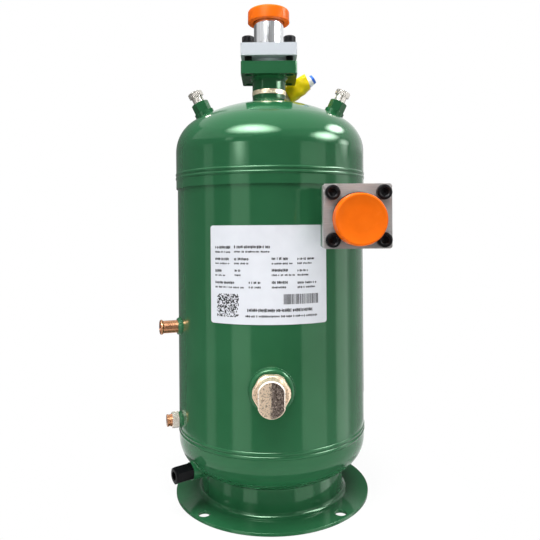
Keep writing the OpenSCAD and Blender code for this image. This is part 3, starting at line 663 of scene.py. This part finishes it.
def cap_profile(shoulder, rounding):
    """Radius and height above the skirt's end, from the bore to the middle of the face."""
    profile = list(SKIRT_PROFILE)
    for a in range(0, 91, 15):
        b = math.radians(a)
        drop = rounding * (1 - math.sin(b))
        profile.append((shoulder - rounding * (1 - math.cos(b)), CAP_LEN - drop))
    edge = shoulder - rounding
    return profile + [
        (edge - FACE_LIP, CAP_LEN), (edge - FACE_EDGE, FACE_Z), (edge / 2, FACE_Z),
        (FACE_MIDDLE, FACE_Z)]


def add_turned(name, profile, place, finish, stands_for=()):
    """A piece turned from a profile of radii and heights."""
    rings = [[place(p) for p in circle(r, z, TURNED_SIDES)] for r, z in profile]
    piece = add_piece(name, all_points(rings), join_rings(rings),
                      FINISHES[finish], stands_for)
    piece.data.set_sharp_from_angle(angle=math.radians(TURNED_SHARP))


def add_transit_caps():
    def upright(p):
        return Vector((p.x, p.y, OUTLET_SKIRT_Z + p.z))

    def facing(start):
        return lambda p: Vector((start[0] + p.x, start[1] - p.z, start[2] + p.y))

    add_turned("outlet_moulded_cap", cap_profile(*OUTLET_CAP), upright,
               "cap_orange", ("outlet_cap",))
    add_turned("inlet_moulded_cap", cap_profile(*INLET_CAP), facing(INLET_SKIRT),
               "cap_orange", ("inlet_cap",))
    add_turned("inlet_rubber_collar", COLLAR_PROFILE, facing(COLLAR), "cap_black")


# Relief valve's film sleeve

SLEEVE_STEPS, SLEEVE_SIDES = 44, 96
SLEEVE_START, SLEEVE_LEN = 18.0, 36.5
SLEEVE_HALF, SLEEVE_BULGE, SLEEVE_TAPER = 11.4, 0.5, 0.9
SLEEVE_LIFT = 1.8
SLEEVE_SQUARE = 3.6
SLEEVE_FILM = 0.5
SLEEVE_SEED = 4
FOLDS = 9
FOLD_WAVES, FOLD_HEIGHTS = (2, 7), (0.05, 0.22)
FOLD_PHASES, FOLD_BENDS = (0, 6.3), (0.1, 0.5)
FOLD_AT_ENDS, FOLD_AT_MIDDLE = 0.3, 0.7
FOLD_TWIST = 5.0
FULL_TURN = 6.28
HEM_SLANT, HEM_BACK, HEM_WAVE = 3.2, 1.4, 0.5
INNER_WAVE = 0.8


def sleeve_hem(t, a):
    """How far an edge of the sleeve leans along its axis: most at the open end."""
    open_end = HEM_SLANT * math.cos(a) - HEM_BACK + HEM_WAVE * math.sin(3 * a + 1.0)
    return t * open_end - (1 - t) * INNER_WAVE * math.sin(2 * a)


def add_sleeve():
    tilt = math.radians(RELIEF_TILT)
    along = Vector((math.sin(tilt), 0, math.cos(tilt)))
    up = Vector((-math.cos(tilt), 0, math.sin(tilt)))
    side = up.cross(along)
    elbow = Vector((*RELIEF, RELIEF_ELBOW_Z))
    rng = random.Random(SLEEVE_SEED)
    # Waves round the sleeve, height, phase and twist of each fold
    folds = [
        (rng.randint(*FOLD_WAVES), rng.uniform(*FOLD_HEIGHTS),
         rng.uniform(*FOLD_PHASES), rng.uniform(*FOLD_BENDS))
        for _ in range(FOLDS)]
    rings = []
    for i in range(SLEEVE_STEPS + 1):
        t = i / SLEEVE_STEPS
        s = SLEEVE_START + SLEEVE_LEN * t
        half = SLEEVE_HALF + SLEEVE_BULGE * math.sin(math.pi * t) - SLEEVE_TAPER * t * t
        ring = []
        for a in turns(SLEEVE_SIDES):
            sides = abs(math.cos(a)) ** SLEEVE_SQUARE + abs(math.sin(a)) ** SLEEVE_SQUARE
            corner = math.pow(sides, -1 / SLEEVE_SQUARE)
            crease = sum(h * math.sin(n * a + phase + FOLD_TWIST * bend * t * FULL_TURN)
                         for n, h, phase, bend in folds)
            r = half * corner + crease * (FOLD_AT_ENDS + FOLD_AT_MIDDLE * math.sin(math.pi * t))
            ring.append(elbow + along * (s + sleeve_hem(t, a))
                        + up * (r * math.cos(a) + SLEEVE_LIFT) + side * r * math.sin(a))
        rings.append(ring)
    piece = add_piece("relief_film_sleeve", all_points(rings), join_rings(rings),
                      FINISHES["sleeve_yellow"], ("relief_sleeve",))
    film = piece.modifiers.new("film", "SOLIDIFY")
    film.thickness = SLEEVE_FILM * MM
    film.offset = -1.0


# Level plug: distances from the vessel's axis, then half widths and radii

PLUG_SIDES = 192
PLUG_SEAT = 129.0
PLUG_STEP = PLUG_SEAT + 9.0
PLUG_FILLET_END = PLUG_SEAT + 9.8
PLUG_NECK = PLUG_SEAT + 11.0
PLUG_FRONT = PLUG_SEAT + 30.0
HEX_HALF, HEX_CORNER_R = 20.4, 21.6
CHAMFER_R, CHAMFER_SLOPE = 19.0, 0.6
FILLET, FILLET_OUT_R, FILLET_IN_R = 0.8, 18.6, 18.4
HEAD_HALF = 14.8
HEAD_END_R, HEAD_END_OFF = 15.6, 5.0
RIM_R, RIM_STEPS = 1.8, 8
FACE_SHARES = (0.8, 0.5, 0.2, 0.01)
PLUG_SHARP = 28


def plug_hexagon(a):
    return min(HEX_HALF / math.cos(a % (math.pi / 3) - math.pi / 6), HEX_CORNER_R)


def plug_head(a):
    end = (HEAD_END_OFF * abs(math.sin(a))
           + math.sqrt(HEAD_END_R ** 2 - (HEAD_END_OFF * math.cos(a)) ** 2))
    return min(HEAD_HALF / max(abs(math.cos(a)), 1e-6), end)


def plug_chamfer(a):
    """Distance from the axis at which the hexagon's chamfer starts."""
    return PLUG_STEP - max(0.0, plug_hexagon(a) - CHAMFER_R) * CHAMFER_SLOPE


def add_level_plug():
    """Hexagon with turned-off corners and a flat-sided head with a round rim."""
    def ring(out, radius):
        points = []
        for a in turns(PLUG_SIDES):
            r = radius(a)
            y = -out(a) if callable(out) else -out
            points.append(Vector((r * math.cos(a), y, LEVEL_Z + r * math.sin(a))))
        return points

    rings = [
        ring(PLUG_SEAT, plug_hexagon),
        ring(plug_chamfer, plug_hexagon),
        ring(PLUG_STEP, lambda a: min(plug_hexagon(a), CHAMFER_R)),
        ring(PLUG_STEP, lambda a: min(plug_head(a) + FILLET, FILLET_OUT_R)),
        ring(PLUG_FILLET_END, lambda a: min(plug_head(a), FILLET_IN_R)),
        ring(PLUG_NECK, plug_head),
    ]
    for k in range(RIM_STEPS):
        turn = math.radians(90 * k / (RIM_STEPS - 1))
        rings.append(ring(PLUG_FRONT - RIM_R + RIM_R * math.sin(turn),
                          lambda a: plug_head(a) - RIM_R * (1 - math.cos(turn))))
    for share in FACE_SHARES:
        rings.append(ring(PLUG_FRONT, lambda a: (plug_head(a) - RIM_R) * share))
    piece = add_piece("level_plug_plated", all_points(rings), join_rings(rings),
                      NODE_FINISHES["level_plug"], ("level_plug",))
    piece.data.set_sharp_from_angle(angle=math.radians(PLUG_SHARP))


# Label print

LABEL_LIFT, LABEL_T, PRINT_LIFT = 0.05, 0.4, 0.04
LABEL_PRINT_R = SHELL_R + LABEL_LIFT + LABEL_T + PRINT_LIFT
# Angles from the front of a row's ends, its height on the vessel and its strokes' height
TEXT_ROWS = [
    (-31.4, -22.0, 323.5, 3.6), (-31.4, -22.0, 318.7, 2.3),
    (-19.8, -0.3, 324.0, 3.6), (-19.8, -0.3, 319.2, 2.3),
    (-31.4, -22.8, 310.2, 3.4), (-31.4, -22.0, 305.6, 2.2),
    (-19.8, -11.4, 310.4, 3.2), (-19.8, -11.8, 305.8, 2.4),
    (0.6, 9.4, 310.6, 3.6), (0.6, 11.7, 305.6, 2.3),
    (14.4, 24.0, 310.4, 3.0), (14.4, 23.4, 305.6, 2.4),
    (-31.4, -26.9, 296.6, 3.4), (-31.4, -25.2, 291.9, 2.2),
    (-19.5, -16.1, 297.2, 3.0), (-19.5, -16.2, 292.4, 2.4),
    (0.6, 9.3, 297.4, 3.6), (0.6, 12.9, 292.6, 2.3),
    (14.4, 20.5, 297.2, 3.0), (14.4, 20.8, 292.4, 2.4),
    (-31.4, -19.6, 283.2, 3.2), (-31.4, -13.6, 278.4, 2.3),
    (-11.7, -4.7, 283.8, 2.8), (-11.7, -5.1, 278.6, 2.6),
    (0.6, 9.3, 283.6, 3.6), (0.6, 8.3, 278.6, 2.5),
    (14.4, 25.3, 283.4, 2.8), (14.4, 24.6, 278.4, 2.6),
    (-12.6, 22.7, 251.8, 4.2), (-13.6, 25.6, 245.8, 2.6),
]
CODE_BARS = (6.8, 26.3, 260.6, 11.4)
CODE_SQUARE = (-30.4, -17.3, 245.6, 26.4)
CODE_CELLS = 25
PRINT_SEED = 11
DOT_CHANCE, CROSS_CHANCE = 0.5, 0.5
# Strokes and bars: widths and gaps in degrees, foot, top and cross-stroke as shares of the height
STROKE_WIDTHS = (0.34, 0.72)
STROKE_GAPS = (0.16, 0.2, 0.2, 0.3, 0.8)
STROKE_FOOT, STROKE_TOP = 0.16, 0.20
CROSS_LOW, CROSS_HIGH, CROSS_REACH = 0.40, 0.56, 2.1
ROW_END = 0.3
BAR_WIDTHS = (0.14, 0.14, 0.28, 0.42)
BAR_GAPS = (0.16, 0.16, 0.3)


def add_print():
    """Rows of plain strokes, a row of bars and a square of dots: print with nothing to read."""
    rng = random.Random(PRINT_SEED)
    points, faces = [], []

    def patch(a0, a1, z0, z1):
        first = len(points)
        for a in (a0, a1):
            b = math.radians(a - 90)
            for z in (z0, z1):
                x, y = LABEL_PRINT_R * math.cos(b), LABEL_PRINT_R * math.sin(b)
                points.append(Vector((x, y, z)))
        faces.append((first, first + 2, first + 3, first + 1))

    for a0, a1, z, h in TEXT_ROWS:
        a = a0
        while a < a1 - ROW_END:
            width = rng.uniform(*STROKE_WIDTHS)
            low = rng.uniform(0.0, STROKE_FOOT) * h
            high = h - rng.uniform(0.0, STROKE_TOP) * h
            patch(a, min(a + width, a1), z + low, z + high)
            if rng.random() < CROSS_CHANCE:
                patch(a, min(a + CROSS_REACH * width, a1), z + CROSS_LOW * h, z + CROSS_HIGH * h)
            a += width + rng.choice(STROKE_GAPS)
    a0, a1, z, h = CODE_BARS
    a = a0
    while a < a1:
        width = rng.choice(BAR_WIDTHS)
        patch(a, min(a + width, a1), z, z + h)
        a += width + rng.choice(BAR_GAPS)
    a0, a1, z, h = CODE_SQUARE
    step = (a1 - a0) / CODE_CELLS
    for i in range(CODE_CELLS):
        for j in range(CODE_CELLS):
            if rng.random() < DOT_CHANCE:
                patch(a0 + i * step, a0 + (i + 1) * step,
                      z + j * h / CODE_CELLS, z + (j + 1) * h / CODE_CELLS)
    add_piece("label_print", points, faces, INK)


# Floor, light and background

def seen_rays(tree):
    """One for rays from the camera, from gloss and through clear pieces."""
    rays = tree.nodes.new("ShaderNodeLightPath")
    total = None
    for name in ("Is Camera Ray", "Is Glossy Ray", "Is Transmission Ray"):
        if total is None:
            total = rays.outputs[name]
            continue
        node = tree.nodes.new("ShaderNodeMath")
        node.operation = "MAXIMUM"
        tree.links.new(total, node.inputs[0])
        tree.links.new(rays.outputs[name], node.inputs[1])
        total = node.outputs[0]
    return total


FLOOR_RADII = (0.002, 0.1, 0.2, 0.3, 0.4, 0.48)
FLOOR_SIDES = 96
FLOOR_Z = -0.0003
# The floor fades to white between these distances from the object's axis
FADE_FROM, FADE_TO = 0.12, 0.26
WHITE_NEAR, WHITE_FAR = 0.88, 1.0


def add_floor():
    rings = [circle(r, 0, FLOOR_SIDES) for r in FLOOR_RADII]
    mesh = bpy.data.meshes.new("floor")
    mesh.from_pydata(all_points(rings), [], join_rings(rings))
    floor = bpy.data.objects.new("floor", mesh)
    floor.location.z = FLOOR_Z
    bpy.context.scene.collection.objects.link(floor)
    s = Shader("floor")
    s.set(
        Base_Color=s.ramp(s.noise(3.0), [(0.3, (0.80, 0.80, 0.80)), (0.7, (0.83, 0.83, 0.83))]),
        Roughness=0.8,
        Specular_IOR_Level=0.1,
    )
    white = s.add("ShaderNodeEmission", {"Color": (1.0, 1.0, 1.0, 1.0), "Strength": 1.0})
    share = s.span(s.length(s.place), WHITE_NEAR, WHITE_FAR, FADE_FROM, FADE_TO)
    mix = s.add("ShaderNodeMixShader", {
        "Fac": s.combine("MULTIPLY", share, seen_rays(s.tree)),
        1: s.surface.outputs["BSDF"], 2: white.outputs["Emission"]})
    s.feed(s.output.inputs["Surface"], mix.outputs["Shader"])
    mesh.materials.append(s.material)
    floor.visible_glossy = False


WORLD_LEVEL = 0.26


def add_world():
    world = bpy.data.worlds.new("studio")
    bpy.context.scene.world = world
    world.use_nodes = True
    tree = world.node_tree
    background = tree.nodes["Background"]
    background.inputs["Color"].default_value = (1.0, 1.0, 1.0, 1.0)
    strength = tree.nodes.new("ShaderNodeMapRange")
    strength.inputs["To Min"].default_value = WORLD_LEVEL
    strength.inputs["To Max"].default_value = 1.0
    tree.links.new(seen_rays(tree), strength.inputs["Value"])
    tree.links.new(strength.outputs["Result"], background.inputs["Strength"])


def add_softbox(name, location, target, size, radiance, in_gloss=True):
    data = bpy.data.lights.new(name, "AREA")
    data.shape = "RECTANGLE"
    data.size, data.size_y = size
    data.energy = radiance * math.pi * size[0] * size[1]
    lamp = bpy.data.objects.new(name, data)
    lamp.location = location
    aim = Vector(target) - Vector(location)
    lamp.rotation_euler = aim.to_track_quat("-Z", "Y").to_euler()
    lamp.visible_glossy = in_gloss
    bpy.context.scene.collection.objects.link(lamp)


# Upright boxes around the object: name, angle from the front, width, radiance
BOXES = [
    ("front_left_box", -33.5, 0.42, 1.3),
    ("left_box", -72.5, 0.25, 0.7),
    ("front_right_box", 49.3, 0.60, 1.25),
    ("right_box", 90.0, 0.39, 1.0),
]
BOX_DISTANCE = 1.1
BOX_LOW, BOX_HIGH = -0.80, 0.60
# Lamps that gloss doesn't show: name, place, target, size, radiance
SOFT_LAMPS = [
    ("soft_key", (-0.99, -1.53, 1.97), (0.0, 0.0, 0.35), (1.44, 1.44), 2.1),
    ("top_box", (0.0, -0.55, 2.55), (0.0, 0.0, 0.45), (2.0, 1.6), 10.8),
]


def add_lights():
    middle = (BOX_LOW + BOX_HIGH) / 2
    for name, angle, width, radiance in BOXES:
        a = math.radians(angle)
        place = (BOX_DISTANCE * math.sin(a), -BOX_DISTANCE * math.cos(a), middle)
        add_softbox(name, place, (0.0, 0.0, middle), (width, BOX_HIGH - BOX_LOW), radiance)
    for lamp in SOFT_LAMPS:
        add_softbox(*lamp, in_gloss=False)


# Curved cards for the gloss: name, angles from the front, heights, distance, level
CARDS = [
    ("grey_wall", -165, 80, (-1.2, 0.2, 1.6), 1.50, 0.20),
    ("right_card", 64, 80, (-1.0, -0.2, 0.62), 1.45, 0.55),
    ("right_back_card", 106, 150, (-1.0, -0.2, 0.62), 1.45, 0.55),
    ("back_card", 156, 204, (-0.3, 0.2, 0.76), 1.50, 0.10),
    ("high_left_card", -106, -20, (0.95, 1.3, 1.7), 1.45, 0.85),
    ("high_right_card", 14, 70, (0.95, 1.3, 1.7), 1.45, 0.50),
    ("neck_card", -51, -42, (0.80, 0.88, 0.94), 1.45, 2.2),
]
CARD_COLUMNS = 32
GROUND_SIDES = 64
# Flat rings for the gloss: name, radii, height, level
GROUNDS = [
    ("grey_ground", (0.01, 0.8, 1.5), -1.2, 0.10),
    ("pale_ground", (0.172, 0.25, 0.335), -0.0008, 1.0),
]
# Discs above that fade to their edges: name, angle from the front, height angle, size, level
GLOWS = [
    ("glow_left", -22.0, 41.0, (1.65, 0.80), 36.0),
    ("glow_right", 69.0, 22.0, (1.10, 0.55), 32.0),
    ("glow_back", 97.0, 35.0, (0.90, 0.50), 32.0),
    ("glow_box_left", -33.5, 7.0, (0.45, 0.22), 8.0),
    ("glow_box_right", 95.0, 11.0, (0.60, 0.34), 9.0),
]
GLOW_DISTANCE = 1.3
GLOW_TARGET = Vector((0.0, 0.0, 0.46))
GLOW_RINGS = (0.01, 0.35, 0.7, 1.0)
GLOW_SIDES = 48


def add_card(name, points, faces, level, fade=None):
    """Seen only in gloss, so that paint and metal have dark and light parts."""
    mesh = bpy.data.meshes.new(name)
    mesh.from_pydata(points, [], faces)
    card = bpy.data.objects.new(name, mesh)
    bpy.context.scene.collection.objects.link(card)
    card.visible_camera = False
    card.visible_diffuse = False
    card.visible_shadow = False
    s = Shader(name)
    cloth = s.ramp(s.noise(4.0), [(0.3, (0.9 * level,) * 3), (0.7, (1.1 * level,) * 3)])
    strength = 1.0
    if fade:
        reach = s.length(s.stretched((2 / fade[0], 2 / fade[1], 0.0)))
        strength = s.add("ShaderNodeMapRange", {
            "Value": reach, "From Min": 0.0, "From Max": 1.0, "To Min": 1.0, "To Max": 0.0,
        }, interpolation_type="SMOOTHSTEP").outputs["Result"]
    glow = s.add("ShaderNodeEmission", {"Color": cloth, "Strength": strength})
    s.feed(s.output.inputs["Surface"], glow.outputs["Emission"])
    mesh.materials.append(s.material)
    return card


def add_glows():
    for name, angle, rise, size, level in GLOWS:
        a, e = math.radians(angle), math.radians(rise)
        out = Vector((math.sin(a) * math.cos(e), -math.cos(a) * math.cos(e), math.sin(e)))
        width, height = 0.5 * size[0], 0.5 * size[1]
        rings = [
            [Vector((width * r * math.cos(b), height * r * math.sin(b), 0.0))
             for b in turns(GLOW_SIDES)]
            for r in GLOW_RINGS]
        card = add_card(name, all_points(rings), join_rings(rings), level, size)
        card.location = GLOW_TARGET + out * GLOW_DISTANCE
        card.rotation_euler = out.to_track_quat("Z", "Y").to_euler()


def add_cards():
    for name, low, high, heights, distance, level in CARDS:
        step = high - low
        columns = [math.radians(low + step * i / CARD_COLUMNS) for i in range(CARD_COLUMNS + 1)]
        points = [Vector((distance * math.sin(a), -distance * math.cos(a), z))
                  for a in columns for z in heights]
        rows = len(heights)
        faces = []
        for i in range(CARD_COLUMNS):
            for k in range(rows * i, rows * i + rows - 1):
                faces.append((k, k + rows, k + rows + 1, k + 1))
        add_card(name, points, faces, level)
    for name, radii, z, level in GROUNDS:
        rings = [circle(r, z, GROUND_SIDES) for r in radii]
        add_card(name, all_points(rings), join_rings(rings), level)


bpy.context.scene.view_settings.view_transform = "Standard"
finish_nodes()
round_edges()
add_camera()
add_beads()
add_screws("outlet_knurled_screws", "outlet_screws", at_outlet)
add_screws("inlet_knurled_screws", "inlet_screws", at_inlet)
add_transit_caps()
add_sleeve()
add_level_plug()
add_print()
add_floor()
add_world()
add_lights()
add_cards()
add_glows()
